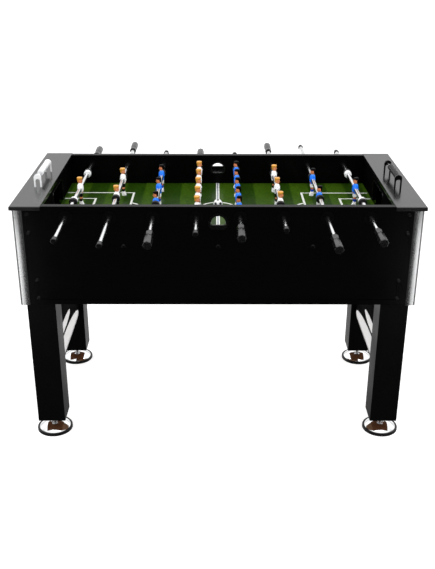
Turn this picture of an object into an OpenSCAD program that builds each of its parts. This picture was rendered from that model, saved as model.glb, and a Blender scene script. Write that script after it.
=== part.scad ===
// Eight-rod table football cabinet on four box legs.
// Frame: X along the table, Y across it (the near side is -Y), Z up from the floor.
// Units are millimetres. Every sub-part sits in its place in the whole table.

/* [Overall] */
// Overall length of the end caps
table_l = 1397; // [1200:1:1500]
// Depth of the end caps across the table
table_d = 712; // [620:1:760]
// Height of the end cap tops above the floor
table_h = 908; // [800:1:960]

/* [Cabinet] */
// Depth of the cabinet from the cap tops to its lower edge
cab_h = 359; // [250:1:420]
// Half of the outside width between the long panels
cab_y = 350; // [290:1:370]
// Thickness of the long panels
wall_t = 25; // [18:1:32]
// Distance from the middle to the outside of the end panels
cab_x = 688; // [600:1:740]
// Thickness of the outer end panels
end_t = 20; // [15:1:30]
// Width of an end cap along the table
cap_w = 105; // [60:1:140]
// Thickness of an end cap
cap_t = 14; // [8:1:25]
// How far the long rails sit below the cap tops
rail_drop = 1; // [0:0.5:6]
// Width of the corner trim seen from the side
trim_w = 32; // [20:1:50]
// Thickness of the corner trim
trim_t = 3; // [2:0.5:6]

/* [Playfield] */
// Half of the playing length between the goal walls
field_x = 598; // [500:1:640]
// Height of the playing surface below the cap tops
field_drop = 118; // [90:1:130]
// Thickness of the playfield board
field_t = 12; // [6:1:20]
// Thickness of the goal walls
goal_t = 15; // [10:1:25]
// Width of the goal mouth
goal_w = 190; // [150:1:240]
// Height of the goal mouth above the playfield
goal_h = 82; // [50:1:95]
// Depth of the ball box below the playfield
ball_box_h = 90; // [50:1:140]

/* [Legs] */
// Side of the square legs
leg_w = 100; // [70:1:120]
// Distance from the middle to the outer face of the legs
leg_x = 673; // [600:1:690]
// Distance from the middle to the front face of the legs
leg_y = 334; // [290:1:345]
// Height of the leg bottoms above the floor
foot_h = 60; // [30:1:90]
// Diameter of the levelling foot
foot_d = 132; // [80:1:150]
// Lower edge of the end aprons above the floor
apron_z = 238; // [200:1:500]

/* [Rods] */
// Spacing of the rods along the table
rod_pitch = 146; // [130:1:160]
// Depth of the rod axes below the cap tops
rod_drop = 39; // [30:1:60]
// Diameter of the rods
rod_d = 15.88; // [12:0.01:20]
// Wall of the rod tubes
rod_wall = 2; // [1:0.1:4]
// How far the rods stand slid towards the near side, all but the two-man rods
rod_shift = 11; // [0:1:20]
// Spacing of the men on a five-man rod
gap_5 = 114; // [100:1:125]
// Spacing of the men on a three-man rod
gap_3 = 176; // [150:1:210]
// Spacing of the men on a two-man rod
gap_2 = 231; // [200:1:260]
// Stop collar of the one-man rods on the near side, from the man
collar_near = 154; // [120:1:200]
// Stop collar of the one-man rods on the far side, from the man
collar_far = 195; // [120:1:220]
// Length of a rubber bumper
bumper_l = 16; // [8:1:20]
// Radius of a rubber bumper
bumper_r = 14.7; // [12:0.1:18]
// Length of a grip
grip_l = 115; // [90:1:140]
// Radius of the eight-sided grip across its corners
grip_r = 15.5; // [12:0.5:20]

/* [Score counters] */
// Distance between the two brackets of a counter
score_l = 200; // [150:1:260]
// Height of the bead wire above the end cap
score_z = 36; // [30:1:40]
// How far the counters sit from the middle of the end caps, towards the near side
score_near = 28; // [0:1:60]
// Diameter of a bead
bead_d = 22; // [14:1:24]
// Length of one bead
bead_l = 14.2; // [6:0.1:16]

/* [Ball] */
// Radius of the ball
ball_r = 18; // [15:0.5:20]
// How far the ball lies from the middle, towards the near side
ball_near = 9; // [0:1:100]

/* [Hidden] */
cap_z = table_h - cap_t;
cab_z = table_h - cab_h;
rail_z = table_h - rail_drop;
field_z = table_h - field_drop;
rod_z = table_h - rod_drop;
in_y = cab_y - wall_t;
cap_in_x = table_l / 2 - cap_w;
rod_r = rod_d / 2;
bore_r = rod_r + 0.06;
leg_cx = leg_x - leg_w / 2;
leg_cy = leg_y - leg_w / 2;
bolt_x = [640, 625];
score_x = 641;
entry_z = 850;
entry_r = 25;
collar_r = 14;
collar_t = 16;
mid_bolt_z = 765;
mid_bolt_x = [-322, 0, 322];
leg_up = 129;
fit_gap = 0.3;

// Rod by rod: side of the grip (-1 near, +1 far), men, and both ends from the middle of the rod.
rod_side = [1, 1, -1, 1, -1, 1, -1, -1];
rod_men = [1, 2, 3, 5, 5, 3, 2, 1];
rod_grip_end = [587, 655, 608, 548, 548, 653, 655, 587];
rod_cap_end = [574, 626, 537, 510, 508, 472, 626, 552];

function rod_x(n) = (n - 4.5) * rod_pitch;
function rod_y(n) = rod_men[n - 1] == 2 ? 0 : -rod_shift;
function men_gap(m) = m == 5 ? gap_5 : m == 3 ? gap_3 : gap_2;
function bolt_z(k) = k == 0 ? [814, 879] : [573, 640];

// The two bumpers of a rod sit outside its outermost men, or outside the stop collars.
function bumper_places(m) = m == 1
  ? [-collar_near - (collar_t + bumper_l) / 2 - 1, collar_far + (collar_t + bumper_l) / 2 + 1]
  : [-1, 1] * ((m - 1) / 2 * men_gap(m) + bumper_l / 2 + 18);

// One node name, or "all"

// A box from one corner to the other.
module span(a, b) {
  translate(a) cube(b - a);
}

// A round bar along Y between two stations.
module bar_y(r, y0, y1) {
  translate([0, y0, 0]) rotate([-90, 0, 0]) cylinder(r = r, h = y1 - y0, $fn = 48);
}

// Places children at both ends of the table, the right one turned half a turn.
module both_ends() {
  children();
  rotate([0, 0, 180]) children();
}

// Places children at both ends of the table, the right one mirrored.
module mirrored_ends() {
  for (s = [-1, 1]) scale([-s, 1, 1]) children();
}

// ---------------- cabinet ----------------

// The long panel on the near side, with the eight bearing holes and the ball entry.
module long_panel() {
  difference() {
    union() {
      span([-cab_x + end_t, -cab_y, cab_z], [cab_x - end_t, -in_y, cap_z]);
      span([-cap_in_x, -cab_y, cap_z - 1], [cap_in_x, -in_y, rail_z]);
    }
    for (n = [1:8]) {
      translate([rod_x(n), 0, rod_z]) bar_y(14.3, -cab_y - 1, -in_y + 1);
    }
    translate([0, -in_y + 1, entry_z]) rotate([90, 0, 0]) entry_hole(entry_r + 2.3, wall_t + 2);
    for (x = mid_bolt_x) translate([x, 0, mid_bolt_z]) bar_y(4.3, -cab_y - 1, -in_y + 1);
    for (s = [-1, 1], k = [0, 1], z = bolt_z(k)) {
      translate([s * bolt_x[k], 0, z]) bar_y(4.3, -cab_y - 1, -in_y + 1);
    }
  }
}

// A hole with a round top and a flat foot, cut along +Z.
module entry_hole(r, h) {
  linear_extrude(height = h) entry_outline(r);
}

module entry_outline(r) {
  difference() {
    circle(r = r, $fn = 64);
    translate([-r - 1, -2 * r]) square([2 * r + 2, 1.4 * r]);
  }
}

module front_panel() {
  color([0.03, 0.03, 0.03]) long_panel();
}

module back_panel() {
  color([0.03, 0.03, 0.03]) rotate([0, 0, 180]) long_panel();
}

module end_panels() {
  color([0.03, 0.03, 0.03]) both_ends()
    span([-cab_x, -cab_y, cab_z], [-cab_x + end_t, cab_y, cap_z]);
}

module goal_walls() {
  color([0.02, 0.02, 0.02]) both_ends() difference() {
    span([-field_x - goal_t, -in_y, field_z], [-field_x, in_y, cap_z]);
    span([-field_x - goal_t - 1, -goal_w / 2, field_z - 1], [-field_x + 1, goal_w / 2, field_z + goal_h]);
  }
}

module playfield() {
  color([0.3, 0.5, 0.15]) difference() {
    span([-field_x - goal_t, -in_y, field_z - field_t], [field_x + goal_t, in_y, field_z]);
    for (s = [-1, 1]) {
      translate([s * (field_x + goal_t), 0, field_z])
        span([-goal_t, -goal_w / 2, -field_t - 1], [goal_t, goal_w / 2, 1]);
    }
  }
}

// A tray that catches the ball behind each goal mouth.
module goal_boxes() {
  x0 = -cab_x + end_t;
  x1 = -field_x - goal_t;
  z0 = field_z - field_t - ball_box_h;
  color([0.05, 0.05, 0.05]) both_ends() difference() {
    span([x0, -goal_w / 2 - 12, z0], [x1 + goal_t, goal_w / 2 + 12, field_z - field_t]);
    span([x0 + 8, -goal_w / 2, z0 + 8], [x1 + goal_t - 8, goal_w / 2, field_z]);
  }
}

module bottom_board() {
  color([0.25, 0.16, 0.1]) difference() {
    span([-cab_x + end_t, -in_y, cab_z + 12], [cab_x - end_t, in_y, cab_z + 24]);
    for (sx = [-1, 1], sy = [-1, 1]) {
      translate([sx * leg_cx, sy * leg_cy, cab_z])
        cube([leg_w + 0.6, leg_w + 0.6, 80], center = true);
    }
  }
}

// A cap over each end, with its outer edges rounded over.
module end_caps() {
  color([0.35, 0.35, 0.35]) both_ends() difference() {
    span([-table_l / 2, -table_d / 2, cap_z], [-cap_in_x, table_d / 2, table_h]);
    for (s = [-1, 1]) {
      translate([-table_l / 2, s * table_d / 2, table_h]) rotate([0, 90, 0])
        edge_cut(3, cap_w);
    }
    translate([-table_l / 2, table_d / 2, table_h]) rotate([90, 0, 0]) edge_cut(3, table_d);
  }
}

// A square bar set on its corner, cut along an edge to break it.
module edge_cut(c, h) {
  translate([0, 0, -1]) linear_extrude(height = h + 2) rotate(45) square(c, center = true);
}

// A rounded upright that wraps each corner of the cabinet.
module corner_trims() {
  color([0.8, 0.8, 0.82])
    for (sx = [-1, 1], sy = [-1, 1]) {
      translate([sx * cab_x, sy * cab_y, cab_z - 1]) scale([-sx, -sy, 1]) corner_trim();
    }
}

// The corner point of the cabinet is at the origin, the cabinet lies towards +X and +Y.
module corner_trim() {
  linear_extrude(height = cap_z - cab_z + 1) difference() {
    union() {
      translate([5, 5]) circle(r = 5 + trim_t, $fn = 48);
      translate([5, -trim_t]) square([trim_w - 5, trim_t + 2]);
      translate([-trim_t, 5]) square([trim_t + 2, trim_w - 5]);
    }
    square(60);
  }
}

// ---------------- legs and aprons ----------------

module legs() {
  color([0.03, 0.03, 0.03])
    for (sx = [-1, 1], sy = [-1, 1]) scale([sx, sy, 1]) leg();
}

// The leg at +X and +Y. Its upper part is set in and stands inside the panels.
module leg() {
  difference() {
    union() {
      span([leg_x - leg_w, leg_y - leg_w, foot_h], [leg_x, leg_y, cab_z]);
      span([leg_x - leg_w + 3, leg_y - leg_w + 3, cab_z - 1],
        [cab_x - end_t - fit_gap, in_y - fit_gap, cab_z + leg_up]);
    }
    translate([leg_cx, leg_cy, foot_h - 1]) cylinder(r = 8.06, h = 56, $fn = 48);
  }
}

// A plain panel between the two legs of each end.
module end_aprons() {
  color([0.02, 0.02, 0.02]) mirrored_ends() difference() {
    span([-609, -leg_y + leg_w, apron_z], [-591, leg_y - leg_w, cab_z + 12]);
    translate([-610, 0, 0]) blades(20);
  }
}

// Two pale swept blades let through each apron.
module apron_blades() {
  color([0.9, 0.9, 0.9]) mirrored_ends() translate([-609.8, 0, 0]) blades(19.6);
}

// Both blades, drawn along +X from the origin plane.
module blades(t) {
  rotate([90, 0, 90]) linear_extrude(height = t) {
    polygon([[-205, 249], [180, 249], [196, 254], [202, 262], [198, 271], [180, 281],
      [150, 290], [100, 301], [50, 309], [0, 315], [-60, 320], [-130, 322], [-190, 320], [-205, 312]]);
    polygon([[-205, 336], [-70, 336], [-20, 341], [8, 348], [18, 356], [12, 364],
      [-20, 371], [-70, 376], [-130, 378], [-205, 374]]);
  }
}

// ---------------- rods ----------------

// A flanged bearing in each hole, 16 in all.
module rod_bushings() {
  color([0.04, 0.04, 0.04])
    for (n = [1:8], s = [-1, 1]) translate([rod_x(n), 0, rod_z]) scale([1, s, 1]) bushing();
}

module bushing() {
  difference() {
    union() {
      bar_y(14, in_y - 3, cab_y + 3);
      bar_y(23, cab_y, cab_y + 3);
      bar_y(19, in_y - 3, in_y);
    }
    bar_y(11, in_y - 4, cab_y + 4);
  }
}

// The plain liner that turns in each bearing, with a lip at both ends.
module sleeves(n) {
  color([0.05, 0.05, 0.05]) translate([rod_x(n), 0, rod_z])
    for (s = [-1, 1]) scale([1, s, 1]) difference() {
      union() {
        bar_y(10.94, in_y - 5, cab_y + 5);
        bar_y(13, cab_y + 3.4, cab_y + 5);
        bar_y(13, in_y - 5, in_y - 3.4);
      }
      bar_y(bore_r, in_y - 6, cab_y + 6);
    }
}

module shaft(n) {
  s = rod_side[n - 1];
  color([0.85, 0.85, 0.87]) translate([rod_x(n), rod_y(n), rod_z]) scale([1, s, 1]) difference() {
    bar_y(rod_r, -rod_cap_end[n - 1] + 6, rod_grip_end[n - 1] - 12);
    bar_y(rod_r - rod_wall, -rod_cap_end[n - 1] + 5, rod_grip_end[n - 1] - 11);
  }
}

// The grip on one end, the safety cap on the other and the two rubber bumpers.
module grip(n) {
  s = rod_side[n - 1];
  ge = rod_grip_end[n - 1];
  ce = rod_cap_end[n - 1];
  color([0.04, 0.04, 0.04]) translate([rod_x(n), rod_y(n), rod_z]) {
    scale([1, s, 1]) difference() {
      translate([0, ge, 0]) rotate([90, 0, 0]) grip_body();
      bar_y(bore_r, ge - grip_l - 1, ge - 12);
    }
    scale([1, s, 1]) difference() {
      union() {
        bar_y(9.6, -ce + 1.5, -ce + 24);
        bar_y(8.2, -ce, -ce + 1.6);
      }
      bar_y(bore_r, -ce + 6, -ce + 25);
    }
    for (y = bumper_places(rod_men[n - 1])) translate([0, y, 0]) ring(bumper_r, bumper_l);
  }
}

// A ring around the rod, centred on the origin.
module ring(r, l) {
  difference() {
    bar_y(r, -l / 2, l / 2);
    bar_y(bore_r, -l / 2 - 1, l / 2 + 1);
  }
}

// Eight-sided body, waist and flared lip, from the outer end inwards, with an edge on top.
module grip_body() {
  grip_part(0, 4, grip_r - 2, grip_r);
  grip_part(4, grip_l - 46, grip_r, grip_r - 1.5);
  grip_part(grip_l - 46, grip_l - 40, grip_r - 1.5, grip_r - 4);
  grip_part(grip_l - 40, grip_l - 10, grip_r - 4, grip_r - 2);
  grip_part(grip_l - 10, grip_l, grip_r - 2, grip_r - 4);
}

module grip_part(z0, z1, r0, r1) {
  translate([0, 0, z0]) cylinder(r1 = r0, r2 = r1, h = z1 - z0, $fn = 8);
}

// The men of one rod. White men look towards +X, blue men towards -X.
module men(n) {
  m = rod_men[n - 1];
  s = rod_side[n - 1];
  for (i = [1:m]) {
    translate([rod_x(n), (i - (m + 1) / 2) * men_gap(m) + rod_y(n), rod_z])
      rotate([0, 0, s > 0 ? 0 : 180]) man();
  }
}

// One man on the rod axis, looking towards +X.
module man() {
  difference() {
    union() {
      intersection() {
        translate([0, 15, 0]) rotate([90, 0, 0]) linear_extrude(height = 30)
          polygon([[-7, -66], [12, -66], [14, -61], [7, -53], [5, -38], [9, -24], [11, -8],
            [12, 8], [9, 24], [-8, 24], [-11, 10], [-11, -8], [-9, -22], [-6, -38], [-6, -54], [-8, -60]]);
        translate([-20, 0, 0]) rotate([90, 0, 90]) linear_extrude(height = 40)
          polygon([[-10, -66], [10, -66], [10, -52], [8, -44], [10, -36], [12, -22], [11, -8],
            [13, 8], [12, 20], [6, 24], [-6, 24], [-12, 20], [-13, 8], [-11, -8], [-12, -22],
            [-10, -36], [-8, -44], [-10, -52]]);
      }
      translate([0, 0, 20]) cylinder(r = 5, h = 8, $fn = 24);
      translate([0.5, 0, 32.5]) sphere(r = 9.5, $fn = 32);
    }
    bar_y(bore_r, -20, 20);
  }
}

module collars(n) {
  color([0.9, 0.9, 0.9]) translate([rod_x(n), rod_y(n), rod_z])
    for (y = [-collar_near, collar_far]) translate([0, y, 0]) ring(collar_r, collar_t);
}

// ---------------- ball, ball entries and bolts ----------------

module ball() {
  color([0.92, 0.92, 0.92]) translate([0, -ball_near, field_z + ball_r + fit_gap])
    sphere(r = ball_r, $fn = 48);
}

// A lined throw-in hole with an outer lip and a scoop, in the middle of each long panel.
module ball_entries() {
  color([0.04, 0.04, 0.04]) both_ends() translate([0, -cab_y, entry_z]) rotate([90, 0, 0]) {
    difference() {
      union() {
        translate([0, 0, -wall_t - 3]) entry_hole(entry_r + 2, wall_t + 3);
        entry_hole(entry_r + 8, 3);
        translate([0, 0, -wall_t - 3]) entry_hole(entry_r + 6, 3);
      }
      translate([0, 0, -wall_t - 4]) entry_hole(entry_r, wall_t + 12);
    }
    difference() {
      entry_hole(entry_r + 2.5, 22);
      translate([0, 0, -1]) entry_hole(entry_r, 21);
      translate([-40, 0, -1]) cube([80, 40, 40]);
    }
  }
}

module bolts() {
  color([0.06, 0.06, 0.06]) both_ends() {
    for (x = mid_bolt_x) translate([x, 0, mid_bolt_z]) bolt();
    for (s = [-1, 1], k = [0, 1], z = bolt_z(k)) translate([s * bolt_x[k], 0, z]) bolt();
  }
}

// A button head with a socket, its shank in the panel.
module bolt() {
  difference() {
    union() {
      bar_y(8, -cab_y - 3, -cab_y);
      bar_y(4, -cab_y - 1, -in_y);
    }
    bar_y(3.5, -cab_y - 4, -cab_y - 1);
  }
}

// ---------------- levelling feet ----------------

// A domed plate, hollow underneath around a middle boss, with its stem and nut.
module foot(sx, sy) {
  color([0.8, 0.8, 0.8]) translate([sx * leg_cx, sy * leg_cy, 0]) {
    rotate_extrude($fn = 96) polygon([[0, 0], [15, 0], [15, 22], [foot_d / 2 - 38, 18.5],
      [foot_d / 2 - 20, 13.5], [foot_d / 2 - 8, 8], [foot_d / 2 - 8, 0], [foot_d / 2 - 1.5, 0],
      [foot_d / 2, 2], [foot_d / 2, 9], [foot_d / 2 - 1.5, 10.5], [foot_d / 2 - 6, 11.5],
      [foot_d / 2 - 20, 17], [foot_d / 2 - 38, 22], [14, 26], [12, 30], [8, 31], [8, foot_h + 38],
      [7, foot_h + 39], [0, foot_h + 39]]);
    translate([0, 0, foot_h - 20]) cylinder(r = 14, h = 10, $fn = 6);
  }
}

// ---------------- score counters ----------------

// Two arched brackets and the wire between them.
module score_frame() {
  translate([0, 0, table_h]) {
    for (s = [-1, 1]) translate([0, s * score_l / 2, 0]) bracket();
    translate([0, 0, score_z]) bar_y(3, -score_l / 2 - 4, score_l / 2 + 4);
  }
}

// An upright with two feet, a round top and an arch between the feet.
module bracket() {
  difference() {
    union() {
      span([-13, -4, 0], [13, 4, score_z]);
      translate([0, 0, score_z - 2]) bar_y(13, -4, 4);
    }
    span([-8, -5, -1], [8, 5, score_z - 14]);
    translate([0, 0, score_z - 14]) bar_y(8, -5, 5);
    translate([0, 0, score_z]) bar_y(3, -5, 5);
  }
}

// Ten beads in a row, ending against the bracket at the given side.
module score_beads(s) {
  row_end = score_l / 2 - 4.5;
  translate([0, 0, table_h + score_z]) scale([1, s, 1]) difference() {
    union() {
      for (i = [1:10]) {
        bar_y(bead_d / 2, row_end - i * bead_l, row_end - (i - 1) * bead_l - 1.5);
      }
      bar_y(6, row_end - 10 * bead_l, row_end - 1.5);
    }
    bar_y(3.06, -score_l, score_l);
  }
}

module score_frame_left() {
  color([0.9, 0.9, 0.9]) translate([-score_x, -score_near, 0]) score_frame();
}

module score_frame_right() {
  color([0.05, 0.05, 0.05]) translate([score_x, -score_near, 0]) score_frame();
}

module score_beads_left() {
  color([0.92, 0.92, 0.92]) translate([-score_x, -score_near, 0]) score_beads(1);
}

module score_beads_right() {
  color([0.08, 0.08, 0.08]) translate([score_x, -score_near, 0]) score_beads(-1);
}

// ---------------- selection ----------------

front_panel();
back_panel();
end_panels();
goal_walls();
playfield();
goal_boxes();
bottom_board();
end_caps();
corner_trims();
legs();
end_aprons();
apron_blades();
rod_bushings();
ball_entries();
bolts();
foot(-1, -1);  // foot_front_left
foot(1, -1);  // foot_front_right
foot(-1, 1);  // foot_back_left
foot(1, 1);  // foot_back_right
ball();
score_frame_left();
score_frame_right();
score_beads_left();
score_beads_right();
sleeves(1);  // rod1_sleeves
shaft(1);  // rod1_shaft
men(1);  // rod1_men
grip(1);  // rod1_grip
collars(1);  // rod1_collars
sleeves(2);  // rod2_sleeves
shaft(2);  // rod2_shaft
men(2);  // rod2_men
grip(2);  // rod2_grip
sleeves(3);  // rod3_sleeves
shaft(3);  // rod3_shaft
men(3);  // rod3_men
grip(3);  // rod3_grip
sleeves(4);  // rod4_sleeves
shaft(4);  // rod4_shaft
men(4);  // rod4_men
grip(4);  // rod4_grip
sleeves(5);  // rod5_sleeves
shaft(5);  // rod5_shaft
men(5);  // rod5_men
grip(5);  // rod5_grip
sleeves(6);  // rod6_sleeves
shaft(6);  // rod6_shaft
men(6);  // rod6_men
grip(6);  // rod6_grip
sleeves(7);  // rod7_sleeves
shaft(7);  // rod7_shaft
men(7);  // rod7_men
grip(7);  // rod7_grip
sleeves(8);  // rod8_sleeves
shaft(8);  // rod8_shaft
men(8);  // rod8_men
grip(8);  // rod8_grip
collars(8);  // rod8_collars
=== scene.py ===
"""Looks of a table football table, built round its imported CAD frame. Metres, +Z up."""

import math

import bmesh
import bpy
from mathutils import Matrix, Vector

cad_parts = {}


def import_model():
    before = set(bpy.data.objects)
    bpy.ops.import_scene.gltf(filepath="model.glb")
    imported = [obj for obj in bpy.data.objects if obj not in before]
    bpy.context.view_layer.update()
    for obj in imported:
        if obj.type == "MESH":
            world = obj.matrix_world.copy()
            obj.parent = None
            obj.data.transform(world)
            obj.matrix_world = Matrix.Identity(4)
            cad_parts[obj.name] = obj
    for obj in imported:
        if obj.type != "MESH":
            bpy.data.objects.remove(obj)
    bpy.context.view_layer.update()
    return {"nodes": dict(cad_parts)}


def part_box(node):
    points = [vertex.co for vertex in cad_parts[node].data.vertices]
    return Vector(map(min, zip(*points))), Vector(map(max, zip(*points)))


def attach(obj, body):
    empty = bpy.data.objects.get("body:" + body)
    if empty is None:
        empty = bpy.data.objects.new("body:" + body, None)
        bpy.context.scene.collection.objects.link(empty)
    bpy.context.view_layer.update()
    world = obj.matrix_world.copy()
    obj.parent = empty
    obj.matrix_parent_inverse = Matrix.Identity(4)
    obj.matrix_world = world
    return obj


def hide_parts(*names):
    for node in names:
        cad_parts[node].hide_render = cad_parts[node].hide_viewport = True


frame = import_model()
MM = 0.001

# Rod by rod, as in the CAD source: +1 has its grip on the far side, and its men look towards +X.
GRIP_SIDE = [1, 1, -1, 1, -1, 1, -1, -1]
MEN = [1, 2, 3, 5, 5, 3, 2, 1]
MEN_GAP = {1: 0.0, 2: 231.0, 3: 176.0, 5: 114.0}
ROD_R = 8.0
BUMPER_L = 16.0
BUMPER_R = 14.7
COLLAR_L = 16.0
COLLAR_R = 14.0
ROD_PITCH = 146.0

# The printed pitch: half sizes of the two boxes at each end, from its middle.
LINE_W = 8
LINE_H = 0.12
CIRCLE_R = 66
BOX_X = 332
BOX_Y = 190
AREA_X = 473.5
AREA_Y = 114
FIELD_END = 594

BALL_R = 17.7
BEADS = 10
GOAL_HALF = 95
GOAL_TOP = 82
GOAL_FACE = 598


# ---------------------------------------------------------------- materials

def shader(name, colour, rough, metal=0.0, ior=1.5, coat=0.0, coat_rough=0.05):
    """A Principled material with its constants on the shader's own sockets."""
    made = bpy.data.materials.new(name)
    made.use_nodes = True
    made.diffuse_color = (*colour, 1)
    bsdf = made.node_tree.nodes["Principled BSDF"]
    bsdf.inputs["Base Color"].default_value = (*colour, 1)
    bsdf.inputs["Roughness"].default_value = rough
    bsdf.inputs["Metallic"].default_value = metal
    bsdf.inputs["IOR"].default_value = ior
    bsdf.inputs["Coat Weight"].default_value = coat
    bsdf.inputs["Coat Roughness"].default_value = coat_rough
    return made


def noise(made, scale, detail=3.0, stretch=(1, 1, 1)):
    """A noise texture in object space, stretched along the axes."""
    nodes, links = made.node_tree.nodes, made.node_tree.links
    place = nodes.new("ShaderNodeTexCoord")
    mapping = nodes.new("ShaderNodeMapping")
    mapping.inputs["Scale"].default_value = stretch
    texture = nodes.new("ShaderNodeTexNoise")
    texture.inputs["Scale"].default_value = scale
    texture.inputs["Detail"].default_value = detail
    links.new(place.outputs["Object"], mapping.inputs["Vector"])
    links.new(mapping.outputs["Vector"], texture.inputs["Vector"])
    return texture.outputs["Fac"]


def spread(made, factor, low, high, out_low, out_high):
    """Maps a factor from one range to another, clamped."""
    nodes, links = made.node_tree.nodes, made.node_tree.links
    node = nodes.new("ShaderNodeMapRange")
    for name, value in (("From Min", low), ("From Max", high), ("To Min", out_low), ("To Max", out_high)):
        node.inputs[name].default_value = value
    links.new(factor, node.inputs["Value"])
    return node.outputs["Result"]


def vary_rough(made, scale, low, high, stretch=(1, 1, 1)):
    """Roughness that wanders between two values."""
    bsdf = made.node_tree.nodes["Principled BSDF"]
    value = spread(made, noise(made, scale, 4, stretch), 0.35, 0.65, low, high)
    made.node_tree.links.new(value, bsdf.inputs["Roughness"])
    return made


def vary_colour(made, scale, first, second, stretch=(1, 1, 1), detail=4.0):
    """Base colour that wanders between two colours."""
    nodes, links = made.node_tree.nodes, made.node_tree.links
    mix = nodes.new("ShaderNodeMix")
    mix.data_type = "RGBA"
    mix.inputs["A"].default_value = (*first, 1)
    mix.inputs["B"].default_value = (*second, 1)
    factor = spread(made, noise(made, scale, detail, stretch), 0.35, 0.65, 0, 1)
    links.new(factor, mix.inputs["Factor"])
    links.new(mix.outputs["Result"], nodes["Principled BSDF"].inputs["Base Color"])
    return made


def bumpy(made, scale, height, stretch=(1, 1, 1), detail=3.0):
    """A fine bump of the given height in metres."""
    nodes, links = made.node_tree.nodes, made.node_tree.links
    bump = nodes.new("ShaderNodeBump")
    bump.inputs["Strength"].default_value = 1.0
    bump.inputs["Distance"].default_value = height
    links.new(noise(made, scale, detail, stretch), bump.inputs["Height"])
    links.new(bump.outputs["Normal"], nodes["Principled BSDF"].inputs["Normal"])
    return made


def laminate_black():
    """The satin black foil on the panels."""
    made = shader("laminate_black", (0.001, 0.001, 0.001), 0.22, ior=1.14)
    vary_rough(made, 9, 0.18, 0.26)
    return bumpy(made, 900, 0.00002)


def laminate_legs():
    """The black laminate, with the raw brown board bare on faces that look straight down."""
    made = shader("laminate_legs", (0.0016, 0.0016, 0.0016), 0.3, ior=1.13)
    nodes, links = made.node_tree.nodes, made.node_tree.links
    vary_rough(made, 9, 0.24, 0.34)
    geometry = nodes.new("ShaderNodeNewGeometry")
    split = nodes.new("ShaderNodeSeparateXYZ")
    links.new(geometry.outputs["Normal"], split.inputs["Vector"])
    downward = spread(made, split.outputs["Z"], -0.9, -0.99, 0, 1)
    mix = nodes.new("ShaderNodeMix")
    mix.data_type = "RGBA"
    mix.inputs["A"].default_value = (0.0016, 0.0016, 0.0016, 1)
    mix.inputs["B"].default_value = (0.085, 0.035, 0.016, 1)
    links.new(downward, mix.inputs["Factor"])
    links.new(mix.outputs["Result"], nodes["Principled BSDF"].inputs["Base Color"])
    return made


def laminate_cap():
    """The smoother foil on the end caps."""
    made = shader("laminate_cap", (0.0035, 0.0035, 0.0037), 0.24, ior=1.5)
    vary_rough(made, 14, 0.14, 0.2)
    return bumpy(made, 1400, 0.000012)


def board_matte():
    """Matt black board, nearly without gloss."""
    made = shader("board_matte", (0.0012, 0.0012, 0.0012), 0.75, ior=1.05)
    return vary_rough(made, 20, 0.7, 0.8)


def board_raw():
    """Bare brown fibreboard."""
    made = shader("board_raw", (0.1, 0.05, 0.025), 0.85, ior=1.3)
    vary_colour(made, 60, (0.075, 0.036, 0.018), (0.13, 0.066, 0.034))
    return bumpy(made, 500, 0.0002)


def pitch_print():
    """Mown stripes across the pitch, a fine turf speckle and a clear gloss over it."""
    made = shader("pitch_print", (0.04, 0.1, 0.01), 0.4, ior=1.12, coat=0.1, coat_rough=0.08)
    nodes, links = made.node_tree.nodes, made.node_tree.links
    place = nodes.new("ShaderNodeTexCoord")
    split = nodes.new("ShaderNodeSeparateXYZ")
    links.new(place.outputs["Object"], split.inputs["Vector"])
    wave = nodes.new("ShaderNodeMath")
    wave.operation = "SINE"
    turns = nodes.new("ShaderNodeMath")
    turns.operation = "MULTIPLY"
    turns.inputs[1].default_value = 2 * math.pi / (ROD_PITCH * MM)
    links.new(split.outputs["X"], turns.inputs[0])
    links.new(turns.outputs["Value"], wave.inputs[0])
    stripe = spread(made, wave.outputs["Value"], -0.12, 0.12, 0, 1)
    pairs = []
    for dark, light in (((0.007, 0.024, 0.0009), (0.017, 0.046, 0.0020)),
                        ((0.019, 0.049, 0.0020), (0.038, 0.085, 0.0042))):
        mix = nodes.new("ShaderNodeMix")
        mix.data_type = "RGBA"
        mix.inputs["A"].default_value = (*dark, 1)
        mix.inputs["B"].default_value = (*light, 1)
        links.new(spread(made, noise(made, 170, 6, (1, 0.5, 1)), 0.36, 0.64, 0, 1), mix.inputs["Factor"])
        pairs.append(mix)
    both = nodes.new("ShaderNodeMix")
    both.data_type = "RGBA"
    links.new(stripe, both.inputs["Factor"])
    links.new(pairs[0].outputs["Result"], both.inputs["A"])
    links.new(pairs[1].outputs["Result"], both.inputs["B"])
    links.new(both.outputs["Result"], nodes["Principled BSDF"].inputs["Base Color"])
    return made


def aluminium():
    """Satin aluminium with a faint upright grain."""
    made = shader("aluminium", (0.78, 0.785, 0.79), 0.24, metal=1.0)
    vary_rough(made, 30, 0.21, 0.25, (3, 3, 0.2))
    return made


def chrome():
    """Bright plating on the feet."""
    made = shader("chrome", (0.86, 0.865, 0.875), 0.06, metal=1.0)
    return vary_rough(made, 25, 0.04, 0.09)


def steel():
    """Drawn tube with a faint grain along it."""
    made = shader("steel", (0.84, 0.845, 0.855), 0.16, metal=1.0)
    return vary_rough(made, 30, 0.13, 0.2, (20, 0.5, 20))


def plastic(name, colour, rough, ior=1.5, fine=700, depth=0.00001):
    """A moulded plastic with a slight wander in its gloss and a fine skin."""
    made = shader(name, colour, rough, ior=ior)
    vary_rough(made, 90, rough - 0.05, rough + 0.05)
    return bumpy(made, fine, depth)


def paint(name, colour, rough=0.32, ior=1.5):
    """A brushed coat on a moulded man, a little uneven in colour."""
    made = shader(name, colour, rough, ior=ior)
    vary_colour(made, 260, colour, tuple(min(1, 1.18 * c + 0.002) for c in colour))
    vary_rough(made, 300, rough - 0.07, rough + 0.07)
    return bumpy(made, 900, 0.00004)


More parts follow.
